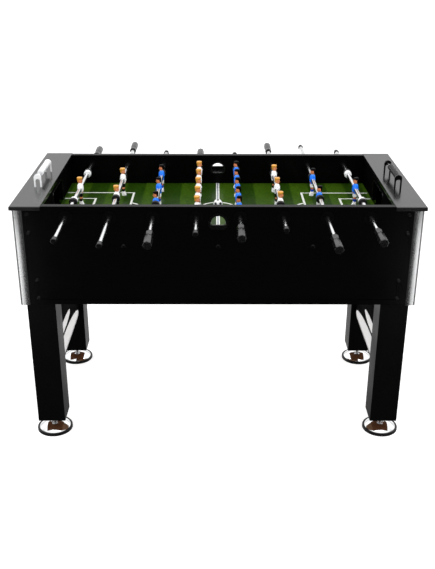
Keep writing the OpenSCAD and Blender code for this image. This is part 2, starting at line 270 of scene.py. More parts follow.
LOOKS = {
    "laminate": laminate_black(),
    "legs": laminate_legs(),
    "cap": laminate_cap(),
    "matte": board_matte(),
    "raw": board_raw(),
    "pitch": pitch_print(),
    "line": plastic("print_white", (0.68, 0.7, 0.66), 0.3),
    "line_grey": plastic("print_grey", (0.10, 0.12, 0.17), 0.3),
    "print_black": plastic("print_black", (0.01, 0.01, 0.01), 0.3),
    "aluminium": aluminium(),
    "chrome": chrome(),
    "steel": steel(),
    "black_metal": plastic("black_metal", (0.0012, 0.0012, 0.0013), 0.2, ior=1.38),
    "black_plastic": plastic("black_plastic", (0.0016, 0.0016, 0.0018), 0.24, ior=1.4),
    "bearing": plastic("bearing_plastic", (0.0012, 0.0012, 0.0013), 0.4, ior=1.12),
    "grip": plastic("grip_plastic", (0.0022, 0.0022, 0.0024), 0.26),
    "rubber": plastic("rubber", (0.003, 0.003, 0.0032), 0.5, ior=1.4),
    "white_plastic": plastic("white_plastic", (0.83, 0.84, 0.845), 0.28),
    "black_bead": plastic("black_bead", (0.0016, 0.0018, 0.0024), 0.2, ior=1.22),
    "inlay": plastic("pale_inlay", (0.95, 0.95, 0.95), 0.4),
    # a grey that paints the shading along the lower edge of the apron blades
    "inlay_grey": plastic("inlay_grey", (0.33, 0.34, 0.36), 0.4),
    "blond": paint("hair_blond", (0.58, 0.27, 0.035)),
    "dark_hair": paint("hair_black", (0.0008, 0.0008, 0.001), ior=1.12),
    "skin": paint("skin", (0.66, 0.25, 0.115)),
    "skin_tan": paint("skin_tan", (0.6, 0.2, 0.085)),
    "white_kit": paint("kit_white", (0.86, 0.87, 0.87)),
    "black_kit": paint("kit_black", (0.004, 0.004, 0.0045), ior=1.3),
    "blue_kit": paint("kit_blue", (0.006, 0.165, 0.86), ior=1.4),
    "pale_kit": paint("kit_pale_blue", (0.18, 0.5, 0.95)),
    "deep_kit": paint("kit_deep_blue", (0.008, 0.045, 0.42)),
}


# ---------------------------------------------------------------- mesh tools

class Shape:
    """Points, faces and a look for each face, all in millimetres."""

    def __init__(self):
        self.points = []
        self.faces = []
        self.looks = []

    def add(self, points, faces, look):
        start = len(self.points)
        self.points += [tuple(p) for p in points]
        self.faces += [tuple(start + i for i in f) for f in faces]
        self.looks += [look] * len(faces) if isinstance(look, str) else list(look)

    def loft(self, rings, looks, tube=False):
        """Skins closed rings in order, with a fan over each end, or round into a tube wall."""
        size = len(rings[0])
        rings = [*rings, rings[0]] if tube else rings
        names = [looks] * (len(rings) - 1) if isinstance(looks, str) else list(looks)
        count = len(rings) - 1 if tube else len(rings)
        points = [p for ring in rings[:count] for p in ring]
        faces, tags = [], []
        for r, name in enumerate(names):
            for k in range(size):
                j = (k + 1) % size
                after = (r + 1) % count
                faces.append((r * size + k, r * size + j, after * size + j, after * size + k))
                tags.append(name)
        if tube:
            self.add(points, faces, tags)
            return
        for ring_index, name, turned in ((0, names[0], True), (len(rings) - 1, names[-1], False)):
            ring = rings[ring_index]
            middle = tuple(sum(c) / size for c in zip(*ring))
            points.append(middle)
            for k in range(size):
                a, b = ring_index * size + k, ring_index * size + (k + 1) % size
                faces.append((b, a, len(points) - 1) if turned else (a, b, len(points) - 1))
                tags.append(name)
        self.add(points, faces, tags)

    def turned(self, profile, look, count=48, axis="Z", origin=(0, 0, 0), tube=False):
        """A closed body turned from (radius, height) pairs about Z or Y."""
        rings = []
        for radius, height in profile:
            ring = []
            for k in range(count):
                a = 2 * math.pi * (k + 0.5) / count
                x, y = radius * math.cos(a), radius * math.sin(a)
                if axis == "Z":
                    ring.append((origin[0] + x, origin[1] + y, origin[2] + height))
                else:
                    ring.append((origin[0] + y, origin[1] + height, origin[2] + x))
            rings.append(ring)
        self.loft(rings, look, tube)

    def blob(self, centre, radii, look, power=2.0, across=20, down=12):
        """A superellipsoid."""
        rings = []
        for i in range(1, down):
            a = math.pi * i / down - math.pi / 2
            flat = abs(math.cos(a)) ** (2 / power)
            height = math.copysign(abs(math.sin(a)) ** (2 / power), a) * radii[2]
            rings.append(outline(centre[2] + height, centre[0], centre[1],
                                 radii[0] * flat, radii[1] * flat, power, across))
        self.loft(rings, look)

    def slab(self, corners, low, high, look):
        """A flat sheet between two heights from its outline, anticlockwise from above."""
        n = len(corners)
        points = [(x, y, low) for x, y in corners] + [(x, y, high) for x, y in corners]
        sides = [(k, (k + 1) % n, n + (k + 1) % n, n + k) for k in range(n)]
        self.add(points, [tuple(range(n))[::-1], tuple(range(n, 2 * n)), *sides], look)

    def arc_band(self, centre, inner, outer, start, end, low, high, look, count=48):
        """A curved stripe, start and end in degrees, anticlockwise."""
        for k in range(count):
            a = math.radians(start + (end - start) * k / count)
            b = math.radians(start + (end - start) * (k + 1) / count)
            corners = [(centre[0] + r * math.cos(t), centre[1] + r * math.sin(t))
                       for r, t in ((inner, a), (outer, a), (outer, b), (inner, b))]
            self.slab(corners, low, high, look)

    def copy_of(self, other, place):
        """Adds another shape, moved by a matrix."""
        points = [place @ Vector(p) for p in other.points]
        start = len(self.points)
        self.points += [tuple(p) for p in points]
        self.faces += [tuple(start + i for i in f) for f in other.faces]
        self.looks += other.looks

    def piece(self, name, body, replaces=(), smooth=35, bevel=0.0):
        """Makes the mesh object in metres and lets it ride on a CAD body."""
        names = sorted(set(self.looks))
        mesh = bpy.data.meshes.new(name)
        mesh.from_pydata([tuple(c * MM for c in p) for p in self.points], [], self.faces)
        for look in names:
            mesh.materials.append(LOOKS[look])
        mesh.polygons.foreach_set("material_index", [names.index(x) for x in self.looks])
        mesh.validate()
        clean = bmesh.new()
        clean.from_mesh(mesh)
        bmesh.ops.recalc_face_normals(clean, faces=clean.faces)
        clean.to_mesh(mesh)
        clean.free()
        obj = bpy.data.objects.new(name, mesh)
        bpy.context.scene.collection.objects.link(obj)
        if bevel:
            soften(obj, bevel, weld=False)
        else:
            mesh.shade_smooth()
            mesh.set_sharp_from_angle(angle=math.radians(smooth))
        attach(obj, body)
        if replaces:
            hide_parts(*replaces)
        return obj


def outline(z, cx, cy, rx, ry, power=2.0, count=24):
    """A closed superellipse at height z."""
    ring = []
    for k in range(count):
        a = 2 * math.pi * (k + 0.5) / count
        c, s = math.cos(a), math.sin(a)
        ring.append((cx + rx * math.copysign(abs(c) ** (2 / power), c),
                     cy + ry * math.copysign(abs(s) ** (2 / power), s), z))
    return ring


def soften(obj, width, weld=True, segments=2, limit=38):
    """Rounds the hard edges of a mesh with modifiers, which leave its own points alone."""
    if weld:
        merge = obj.modifiers.new("weld", "WELD")
        merge.merge_threshold = 0.00001
    edges = obj.modifiers.new("bevel", "BEVEL")
    edges.width = width * MM
    edges.segments = segments
    edges.limit_method = "ANGLE"
    edges.angle_limit = math.radians(limit)
    edges.use_clamp_overlap = True
    normals = obj.modifiers.new("normals", "WEIGHTED_NORMAL")
    normals.keep_sharp = True
    return obj


def dress(node, look, bevel=0.0, segments=2):
    """Gives a CAD node its material and, if asked, softened edges."""
    obj = frame["nodes"][node]
    obj.data.materials.clear()
    obj.data.materials.append(LOOKS[look])
    if bevel:
        soften(obj, bevel, segments=segments)


def middle(node):
    """Centre of a CAD node's box, in millimetres."""
    low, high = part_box(node)
    return (low + high) / 2 / MM


# ---------------------------------------------------------------- cabinet

def cabinet():
    """The boards and legs keep their CAD shape."""
    for node in ("front_panel", "back_panel", "end_panels"):
        dress(node, "laminate", 0.8)
    dress("goal_walls", "matte", 0.6)
    dress("end_caps", "cap", 1.4, 3)
    dress("legs", "legs", 1.0)
    dress("end_aprons", "matte", 0.6)
    dress("apron_blades", "inlay", 0.3)
    dress("bottom_board", "raw", 0.5)
    dress("goal_boxes", "black_plastic", 0.6)
    dress("playfield", "pitch")
    dress("rod_bushings", "bearing", 0.6)
    dress("ball_entries", "black_plastic", 0.5)


def corner_trims():
    """Rounded uprights on the four corners, bulging a little between their edges."""
    low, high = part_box("corner_trims")
    low, high = low / MM, high / MM
    corner_x, corner_y = high.x - 3, high.y - 3
    side = [(32.0, 0.3), (32.0, -1.2), (31.4, -2.3), (29.6, -3.0), (26.0, -3.5), (21.0, -4.0), (16.0, -4.3),
            (11.0, -4.3)]
    arc = []
    for k in range(13):
        a = math.radians(270 - 7.5 * k)
        arc.append((8.0 + 12.3 * math.cos(a), 8.0 + 12.3 * math.sin(a)))
    profile = [*side, *arc, *[(y, x) for x, y in reversed(side)], (0.3, 0.3)]
    shape = Shape()
    for sx in (-1, 1):
        for sy in (-1, 1):
            flat = [(sx * (corner_x - x), sy * (corner_y - y)) for x, y in profile]
            if sx * sy < 0:
                flat.reverse()
            shape.slab(flat[::-1], low.z, high.z, "aluminium")
    shape.piece("corner_uprights", "cabinet", ["corner_trims"], 30)


def field_z():
    """Height of the pitch's upper face."""
    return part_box("playfield")[1].z / MM


def stripe(shape, x0, y0, x1, y1, look="line"):
    """A printed line from corner to corner, standing just proud of the pitch."""
    z = field_z()
    shape.slab([(x0, y0), (x1, y0), (x1, y1), (x0, y1)], z, z + LINE_H, look)


def field_lines():
    """The centre line and circle, both boxes at each end and their arcs."""
    shape = Shape()
    z, half = field_z(), LINE_W / 2
    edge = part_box("playfield")[1].y / MM - 1
    inner, outer, spot = 2.1, 6.6, 0.32 * CIRCLE_R
    for s in (-1, 1):
        y0, y1 = sorted((s * spot, s * edge))
        stripe(shape, -outer, y0, -inner, y1)
        stripe(shape, inner, y0, outer, y1)
        stripe(shape, -inner, y0, inner, y1, "line_grey")
    shape.arc_band((0, 0), CIRCLE_R - half, CIRCLE_R + half, 0, 360, z, z + LINE_H + 0.03, "line", 72)
    for s in (-1, 1):
        for x, y in ((BOX_X, BOX_Y), (AREA_X, AREA_Y)):
            x0, x1 = sorted((s * (x - half), s * (x + half)))
            stripe(shape, x0, -y - half, x1, y + half)
            for side in (-1, 1):
                a, b = sorted((s * (x + half), s * FIELD_END))
                stripe(shape, a, side * y - half, b, side * y + half)
        arc_r, arc_span, centre = 62, 66, (s * (BOX_X + 22), 0)
        turn = 0 if s < 0 else 180
        shape.arc_band(centre, arc_r - half, arc_r + half, turn - arc_span, turn + arc_span, z, z + LINE_H,
                       "line", 24)
    shape.piece("pitch_lines", "cabinet")


def ball():
    """A white ball with twelve black five-sided patches, one of them near its top."""
    at = middle("ball")
    shape = Shape()
    rings = []
    for i in range(1, 24):
        a = math.pi * i / 24 - math.pi / 2
        flat = BALL_R * math.cos(a)
        rings.append(outline(at.z + BALL_R * math.sin(a), at.x, at.y, flat, flat, 2.0, 48))
    shape.loft(rings, "white_plastic")
    tilt = Matrix.Rotation(math.radians(14), 4, "X") @ Matrix.Rotation(math.radians(20), 4, "Z")
    places = [(0.0, 0.0, 1.0), (0.0, 0.0, -1.0)]
    up_part, flat_part = 0.4472, 0.8944  # an icosahedron's corners, on a sphere of radius 1
    for k in range(5):
        for height, turn in ((up_part, 0.0), (-up_part, math.pi / 5)):
            a = 2 * math.pi * k / 5 + turn
            places.append((flat_part * math.cos(a), flat_part * math.sin(a), height))
    for place in places:
        out = (tilt @ Vector(place)).normalized()
        side = out.orthogonal().normalized()
        up = out.cross(side)
        rings = []
        for reach, lift in ((0.36, 0.985), (0.36, 1.004), (0.24, 1.006), (0.12, 1.007)):
            ring = []
            for k in range(20):
                a = 2 * math.pi * k / 20
                flat = reach * math.cos(math.pi / 5) / math.cos((a % (2 * math.pi / 5)) - math.pi / 5)
                spot = (out + (side * math.cos(a) + up * math.sin(a)) * flat).normalized() * BALL_R * lift
                ring.append((at.x + spot.x, at.y + spot.y, at.z + spot.z))
            rings.append(ring)
        shape.loft(rings, "print_black")
    shape.piece("match_ball", "ball", ["ball"], 50)


def goal_trims():
    """A thin rim round each goal mouth, on the playing side."""
    z, corner = field_z(), 14
    for s, name in ((-1, "left"), (1, "right")):
        shape = Shape()
        face = s * GOAL_FACE
        path = [(-GOAL_HALF, 0)]
        for k in range(7):
            a = math.pi - k * math.pi / 12
            path.append((-GOAL_HALF + corner * (1 + math.cos(a)), GOAL_TOP - corner * (1 - math.sin(a))))
        path += [(-y, h) for y, h in reversed(path)]
        rings = []
        for i, (y, h) in enumerate(path):
            before = Vector(path[max(i - 1, 0)])
            after = Vector(path[min(i + 1, len(path) - 1)])
            along = (after - before).normalized()
            out = Vector((-along.y, along.x))
            ring = []
            for dx, dn in ((0, -0.6), (-1.6, -0.4), (-2.2, 1.2), (-1.6, 2.8), (0, 3.2)):
                ring.append((face + s * dx, y + out.x * dn, z + h + out.y * dn))
            rings.append(ring if s < 0 else ring[::-1])
        shape.loft(rings, "black_metal")
        shape.piece("goal_trim_" + name, "cabinet")


def blade_shade_lines():
    """A thin grey line along the lower edge of the lower blade of each end apron: painted shade standing for the
    shading along that edge, not a strip of its own.
    """
    for s, name in ((-1, "left"), (1, "right")):
        shape = Shape()
        path = [(-196, 256), (172, 256), (186, 259), (193, 264)]
        for face in (-610.0, -590.0):
            for (ya, za), (yb, zb) in zip(path, path[1:]):
                points = []
                for y, z in ((ya, za - 0.9), (yb, zb - 0.9), (yb, zb + 0.9), (ya, za + 0.9)):
                    points += [(-s * (face - 0.15), y, z), (-s * (face + 0.15), y, z)]
                faces = [(0, 2, 4, 6), (1, 7, 5, 3), (0, 1, 3, 2), (2, 3, 5, 4), (4, 5, 7, 6), (6, 7, 1, 0)]
                # the grey strip is painted shade along the blade's edge
                shape.add(points, faces, "inlay_grey")
        shape.piece("blade_shade_line_" + name, "cabinet")


def bolts():
    """Shanks under domed heads with a six-sided socket: three along the panel, four at each leg."""
    shape = Shape()
    low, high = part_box("bolts")
    head, shank = 3, 21
    near, far = low.y / MM + head, high.y / MM - head
    places = [(x, 765) for x in (-322, 0, 322)]
    for s in (-1, 1):
        places += [(s * 640, 814), (s * 640, 879), (s * 625, 573), (s * 625, 640)]
    for face, s in ((near, -1), (far, 1)):
        for x, z in places:
            rings = []
            for radius, out in ((8, -1), (8, 0.6), (7.6, 1.5), (6.4, 2.5), (5.0, 3.0), (3.9, 3.0)):
                rings.append([(x + radius * math.cos(t), face + s * out, z + radius * math.sin(t))
                              for t in steps(36)])
            for reach in (3.0, 0.8):
                rings.append([(x + hexed(t, 2.9) * math.cos(t), face + s * reach, z + hexed(t, 2.9) * math.sin(t))
                              for t in steps(36)])
            shape.loft([r[::-1] if s < 0 else r for r in rings], "black_metal")
            shape.turned([(4, 0), (4, shank)], "black_metal", 16, axis="Y",
                         origin=(x, face - (shank if s > 0 else 0), z))
    shape.piece("bolt_heads", "cabinet", ["bolts"])


def steps(count):
    """Angles all the way round, half a step from zero."""
    return [2 * math.pi * (k + 0.5) / count for k in range(count)]


def hexed(angle, flat):
    """Distance from the middle of a six-sided hole to its side at an angle."""
    part = (angle % (math.pi / 3)) - math.pi / 6
    return flat / math.cos(part)


# ---------------------------------------------------------------- levelling feet

def feet():
    """A domed chrome disc in a black pad, a threaded stem and its lock nut."""
    for node in ("foot_front_left", "foot_front_right", "foot_back_left", "foot_back_right"):
        at = middle(node)
        origin = (at.x, at.y, 0)
        plate = Shape()
        dome = [(60.4, 8.0)]
        for k in range(15):
            t = k / 14
            dome.append((59.6 - 45.6 * t, 11.5 + 17.5 * math.sin(math.pi / 2 * t) ** 0.9))
        dome += [(12.5, 30.2), (11.2, 30.6), (11.2, 31.6)]
        plate.turned([(20, 7.5), *dome], "chrome", 96, origin=origin)
        plate.piece(node + "_plate", node, [node], 50)
        ring = Shape()
        ring_profile = [(15, 0), (64.8, 0), (66, 1.6), (66, 9.4), (65.2, 11.6), (63.2, 12.6), (61.2, 12.4),
                        (60.2, 10.5), (57, 7.6), (15, 7.6)]
        ring.turned(ring_profile, "rubber", 96, origin=origin, tube=True)
        ring.piece(node + "_pad", node)
        stem = Shape()
        profile = [(7.0, 31.0)]
        for k in range(22):
            z = 31.4 + 3 * k
            profile += [(7.0, z), (8.0, z + 1.2), (8.0, z + 1.6), (7.0, z + 2.8)]
        stem.turned(profile, "chrome", 32, origin=origin)
        rings = []
        for radius, height in ((12.6, 40), (14.0, 40.8), (14.0, 49.2), (12.6, 50)):
            rings.append([(at.x + min(radius, hexed(t, 12.1)) * math.cos(t),
                           at.y + min(radius, hexed(t, 12.1)) * math.sin(t), height) for t in steps(48)])
        stem.loft(rings, "chrome")
        stem.piece(node + "_stem", node)


# ---------------------------------------------------------------- rods

def man(white):
    """One moulded man on the rod axis, looking towards +X, 108 mm tall."""
    shape = Shape()
    shirt = "white_kit" if white else "blue_kit"
    shorts = "black_kit" if white else "white_kit"
    sock = "black_kit" if white else "deep_kit"
    skin = "skin" if white else "skin_tan"
    hair = "blond" if white else "dark_hair"

    def stack(rows, power, look, groove=0.0):
        """A run of superellipse rings; groove pinches the middle line, as between two legs."""
        rings = []
        for z, cx, rx, ry in rows:
            ring = outline(z, cx, 0, rx, ry, power, 36)
            if groove:
                ring = [(cx + (x - cx) * (1 - groove * math.exp(-(y / 2.0) ** 2)), y, h) for x, y, h in ring]
            rings.append(ring)
        shape.loft(rings, look)

    stack([(-66.0, 1.6, 8.2, 7.8), (-65.4, 1.7, 9.0, 8.6), (-62.0, 1.7, 9.0, 8.9), (-58.6, 1.1, 8.3, 9.0),
           (-55.0, 0.4, 7.3, 8.9), (-52.0, 0.0, 6.6, 8.7), (-49.6, -0.2, 6.5, 8.7), (-49.2, -0.2, 5.6, 7.8)],
          2.8, "white_kit", 0.18)
    stack([(-50.4, -0.2, 5.4, 7.8), (-48.0, -0.2, 5.7, 8.2), (-44.0, -0.1, 6.1, 8.7), (-40.4, 0.0, 6.5, 9.1),
           (-39.2, 0.0, 6.4, 9.0), (-38.9, 0.0, 5.4, 8.0)], 2.6, sock, 0.2)
    stack([(-40.2, 0.0, 5.2, 7.8), (-38.0, 0.3, 5.9, 8.7), (-35.0, 0.5, 6.4, 9.2), (-31.0, 0.2, 6.3, 9.6),
           (-28.5, 0.2, 6.3, 9.6)], 2.6, skin, 0.22)
    stack([(-31.2, 0.2, 6.4, 9.8), (-30.8, 0.2, 8.0, 11.2), (-28.6, 0.2, 8.3, 11.5), (-22.0, 0.1, 8.5, 11.7),
           (-16.0, 0.1, 8.2, 11.2), (-14.0, 0.1, 7.6, 10.6)], 2.8, shorts, 0.16)
    stack([(-17.6, 0.1, 8.0, 11.0), (-17.2, 0.1, 9.2, 12.0), (-14.5, 0.1, 9.4, 12.2), (-8.0, 0.3, 9.6, 12.0),
           (-1.0, 0.6, 10.4, 12.4), (6.0, 0.7, 10.9, 12.9), (11.0, 0.3, 10.2, 13.0), (14.4, 0.0, 8.6, 11.8),
           (16.8, 0.0, 6.6, 8.6), (18.4, 0.0, 5.0, 5.4)], 2.6, shirt)
    shape.turned([(9.2, -13.4), (10.4, -12.9), (10.8, -11.5), (10.8, 11.5), (10.4, 12.9), (9.2, 13.4)],
                 shirt, 36, axis="Y")
    for s in (-1, 1):
        arm = []
        for x, y, z, r in ((0.4, 11.0, 12.6, 1.0), (1.2, 11.2, 11.6, 2.6), (4.6, 11.4, 6.0, 3.2),
                           (7.6, 11.2, -1.0, 3.0), (8.4, 10.6, -7.0, 2.8), (8.0, 10.0, -10.8, 2.6)):
            arm.append(outline(z, x, s * y, r, r, 2.0, 14))
        shape.loft(arm[::-1], shirt)
        shape.blob((7.8, s * 9.8, -12.6), (2.4, 2.0, 3.0), skin, 2.0, 12, 8)
    collar = "white_kit" if white else "pale_kit"
    shape.loft([outline(z, 0.3, 0, r, r, 2.0, 24) for z, r in ((16.6, 5.4), (18.0, 5.9), (19.4, 5.2), (19.6, 4.4))],
               collar)
    shape.loft([outline(z, 0.5, 0, r, r, 2.0, 24) for z, r in ((16.0, 4.2), (19.0, 4.1), (23.0, 4.5))], skin)
    head = []
    for z, cx, rx, ry in ((18.9, 1.9, 3.4, 3.4), (19.6, 1.7, 5.2, 4.6), (21.4, 1.3, 7.0, 5.9), (24.0, 0.9, 8.0, 6.8),
                          (27.0, 0.6, 8.4, 7.2), (30.0, 0.4, 8.7, 7.5), (33.5, 0.2, 8.8, 7.5), (37.0, 0.0, 8.0, 6.8),
                          (39.5, 0.0, 6.0, 5.0)):
        head.append(outline(z, cx, 0, rx, ry, 2.2, 28))
    shape.loft(head, skin)
    nose = [outline(z, cx, 0, rx, ry, 2.0, 12) for z, cx, rx, ry in
            ((24.4, 8.9, 0.9, 1.2), (25.2, 9.5, 1.5, 1.6), (27.2, 9.3, 1.1, 1.2), (30.0, 8.9, 0.6, 0.8))]
    shape.loft(nose, skin)
    for s in (-1, 1):
        shape.blob((0.2, s * 7.3, 28.0), (1.7, 1.1, 2.5), skin, 2.0, 12, 8)
        shape.blob((8.25, s * 2.9, 29.0), (0.7, 1.1, 0.7), "black_kit", 2.0, 10, 6)
        shape.blob((8.6, s * 2.9, 31.2), (0.8, 1.7, 0.45), hair, 2.0, 10, 6)
    shape.blob((8.5, 0, 22.7), (0.6, 1.9, 0.4), "skin_tan" if white else "skin", 2.0, 10, 6)
    if white:
        top = [(33.6, -0.8, 9.0, 7.9), (34.6, -0.5, 9.8, 8.5), (36.6, -0.3, 10.2, 8.8), (39.0, -0.2, 10.2, 8.7),
               (41.0, -0.1, 9.5, 8.1), (41.9, -0.1, 8.0, 6.6), (42.1, -0.1, 5.0, 4.0)]
        power = 2.9
    else:
        top = [(33.6, -0.8, 8.9, 7.8), (34.6, -0.5, 9.5, 8.3), (36.6, -0.2, 9.8, 8.5), (38.8, -0.2, 9.4, 8.1),
               (40.8, -0.5, 8.0, 6.8), (42.0, -0.8, 5.4, 4.6)]
        power = 2.3
    rings = []
    for z, cx, rx, ry in top:
        ring = []
        for k, (x, y, h) in enumerate(outline(z, cx, 0, rx, ry, power, 40)):
            lock = 1 + 0.018 * math.sin(10 * 2 * math.pi * k / 40 + 0.25 * z)
            ring.append((cx + (x - cx) * lock, y * lock, h))
        rings.append(ring)
    shape.loft(rings, hair)
    shape.loft([outline(z, cx, 0, rx, ry, 2.3, 28) for z, cx, rx, ry in
                ((22.8, -4.6, 2.8, 4.4), (24.4, -4.9, 3.9, 5.8), (28.0, -4.7, 4.6, 6.8), (32.0, -4.0, 5.6, 7.6),
                 (35.4, -3.2, 6.4, 8.0))], hair)
    for s in (-1, 1):
        shape.turned([(2.1, 0), (2.1, 1.3), (1.7, 1.6), (1.2, 1.6)], "black_metal", 14, axis="Y",
                     origin=(0, -0.8, 0))
    return shape


def men():
    """Copies of the two figures, spaced along each rod."""
    figures = {True: man(True), False: man(False)}
    for n in range(1, 9):
        white = GRIP_SIDE[n - 1] > 0
        count = MEN[n - 1]
        at = middle(f"rod{n}_men")
        at.z = middle(f"rod{n}_shaft").z
        at.x = middle(f"rod{n}_shaft").x
        shape = Shape()
        for i in range(count):
            y = at.y + (i - (count - 1) / 2) * MEN_GAP[count]
            place = Matrix.Translation((at.x, y, at.z))
            if not white:
                place = place @ Matrix.Rotation(math.pi, 4, "Z")
            shape.copy_of(figures[white], place)
        shape.piece(f"rod{n}_team", f"rod{n}", [f"rod{n}_men"], 42)


def grips():
    """An eight-sided grip at one end of each rod and a round safety cap at the other."""
    body = [(0.0, 11.6), (0.9, 13.4), (2.6, 14.6), (5.0, 15.1), (8.0, 15.3), (38.0, 15.0), (62.0, 14.4),
            (70.0, 13.4), (75.0, 12.2), (80.0, 11.6), (88.0, 11.9), (96.0, 12.9), (103.0, 13.7), (108.0, 13.9),
            (112.0, 13.6), (114.4, 12.6), (115.0, 11.2)]
    for n in range(1, 9):
        s = GRIP_SIDE[n - 1]
        at = middle(f"rod{n}_shaft")
        low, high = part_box(f"rod{n}_grip")
        grip_end, cap_end = (high.y, low.y) if s > 0 else (low.y, high.y)
        grip_end, cap_end = grip_end / MM, cap_end / MM
        shape = Shape()
        rings = []
        for inward, radius in body:
            rings.append([(at.x + radius * x, grip_end - s * inward, at.z + radius * z) for x, z in octagon()])
        shape.loft(rings if s > 0 else [r[::-1] for r in rings], "grip")
        profile = [(8.6, 0.4), (9.4, 0.1), (9.9, -0.5), (9.9, -0.9)]
        shape.turned([(r, h * s) for r, h in ([(3.0, -0.6), (7.6, -0.6), (8.0, 0.35), *profile])], "rubber", 40,
                     axis="Y", origin=(at.x, grip_end - s * 0.3, at.z))
        shape.piece(f"rod{n}_handle", f"rod{n}", [f"rod{n}_grip"], 18)
        cap = Shape()
        turn = -s
        cap_profile = [(2.5, -1.2), (6.6, -0.6), (8.2, -1.0), (9.2, -2.2), (9.7, -4.0), (9.7, -21.0), (10.4, -21.6),
                       (10.4, -23.4), (9.6, -24.0), (8.1, -24.0)]
        cap.turned([(r, turn * h) for r, h in cap_profile], "black_plastic", 40, axis="Y",
                   origin=(at.x, cap_end + turn * 0.6, at.z))
        cap.piece(f"rod{n}_safety_cap", f"rod{n}", (), 40)


def octagon():
    """Eight corners with one on top, each corner cut by a small flat."""
    points = []
    for k in range(8):
        corner = math.pi / 2 + k * math.pi / 4
        for side in (-1, 1):
            a = corner + side * 0.03
            points.append((0.99 * math.cos(a), 0.99 * math.sin(a)))
    return points


def bumper_places(n):
    """Middles of the two rubber bumpers of a rod, outside its men or its stop collars."""
    if MEN[n - 1] == 1:
        low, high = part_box(f"rod{n}_collars")
        reach = BUMPER_L / 2 + 1
        return [low.y / MM - reach, high.y / MM + reach]
    reach = (MEN[n - 1] - 1) / 2 * MEN_GAP[MEN[n - 1]] + BUMPER_L / 2 + 18
    at = middle(f"rod{n}_men").y
    return [at - reach, at + reach]


def rods():
    """Tubes, the liners turning in their bearings, rubber bumpers and two pairs of stop collars."""
    for n in range(1, 9):
        dress(f"rod{n}_shaft", "steel", 0.4)
        at = middle(f"rod{n}_shaft")
        shape = Shape()
        wall = abs(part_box("front_panel")[1].y / MM)
        rise = abs(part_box("front_panel")[0].y / MM) - wall
        for s in (-1, 1):
            liner = [(8.05, -5.0), (12.4, -5.0), (13.0, -4.5), (12.8, -3.5), (10.9, -3.4), (10.9, rise + 3.4),
                     (12.6, rise + 3.5), (13.0, rise + 4.1), (12.6, rise + 4.9), (8.05, rise + 5.0)]
            shape.turned([(r, s * h) for r, h in liner], "bearing", 48, axis="Y",
                         origin=(at.x, s * wall, at.z), tube=True)
        shape.piece(f"rod{n}_liners", f"rod{n}_liner", [f"rod{n}_sleeves"], 40)
        rubber = Shape()
        half = BUMPER_L / 2
        ring = [(ROD_R, -half), (13.6, -half), (14.5, -half + 0.9), (BUMPER_R, -half + 2.4), (BUMPER_R, -1.2),
                (14.1, -0.6), (14.1, 0.6), (BUMPER_R, 1.2), (BUMPER_R, half - 2.4), (14.5, half - 0.9),
                (13.6, half), (ROD_R, half)]
        for y in bumper_places(n):
            rubber.turned(ring, "rubber", 48, axis="Y", origin=(at.x, y, at.z), tube=True)
        rubber.piece(f"rod{n}_bumpers", f"rod{n}", (), 40)
    for n in (1, 8):
        at = middle(f"rod{n}_shaft")
        low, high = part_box(f"rod{n}_collars")
        half = COLLAR_L / 2
        shape = Shape()
        for y in (low.y / MM + half, high.y / MM - half):
            shape.turned([(ROD_R, -half), (12.6, -half), (13.6, 0.6 - half), (COLLAR_R, 1.8 - half),
                          (COLLAR_R, half - 1.8), (13.6, half - 0.6), (12.6, half), (ROD_R, half)],
                         "white_plastic", 48, axis="Y", origin=(at.x, y, at.z), tube=True)
            shape.blob((at.x, y, at.z + 13.4), (2.2, 2.2, 0.9), "black_metal", 2.0, 14, 6)
        shape.piece(f"rod{n}_stops", f"rod{n}", [f"rod{n}_collars"], 40)


# ---------------------------------------------------------------- score counters

def counters():
    """Ten ring beads on a wire between two brackets, on each end cap."""
    for side, look, bead_look in (("left", "white_plastic", "white_plastic"),
                                  ("right", "black_plastic", "black_bead")):
        dress(f"score_frame_{side}", look, 0.7)
        low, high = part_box(f"score_beads_{side}")
        low, high = low / MM, high / MM
        x, z = (low.x + high.x) / 2, (low.z + high.z) / 2
        radius = (high.x - low.x) / 2
        pitch = (high.y - low.y + 1.5) / BEADS
        shape = Shape()
        for i in range(BEADS):
            y = low.y + i * pitch
            width = pitch - 1.1
            shape.turned([(5.5, 0.2), (8.6, 0.0), (radius - 0.8, 0.5), (radius, 1.6), (radius, width - 1.6),
                          (radius - 0.8, width - 0.5), (8.6, width), (5.5, width - 0.2)], bead_look, 40, axis="Y",
                         origin=(x, y, z), tube=True)
        shape.turned([(3.2, 0.6), (5.8, 0.6), (5.8, BEADS * pitch - 2.2), (3.2, BEADS * pitch - 2.2)], bead_look, 24,
                     axis="Y", origin=(x, low.y, z), tube=True)
        shape.piece(f"score_row_{side}", f"score_beads_{side}", [f"score_beads_{side}"], 40)
        wire = Shape()
        box_low, box_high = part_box(f"score_frame_{side}")
        length = (box_high.y - box_low.y) / MM
        wire.turned([(2.2, 0.1), (3.04, 0.8), (3.04, length - 0.8), (2.2, length - 0.1)], "steel", 24, axis="Y",
                    origin=(x, box_low.y / MM, z))
        wire.piece(f"score_wire_{side}", "cabinet")


# ---------------------------------------------------------------- stage

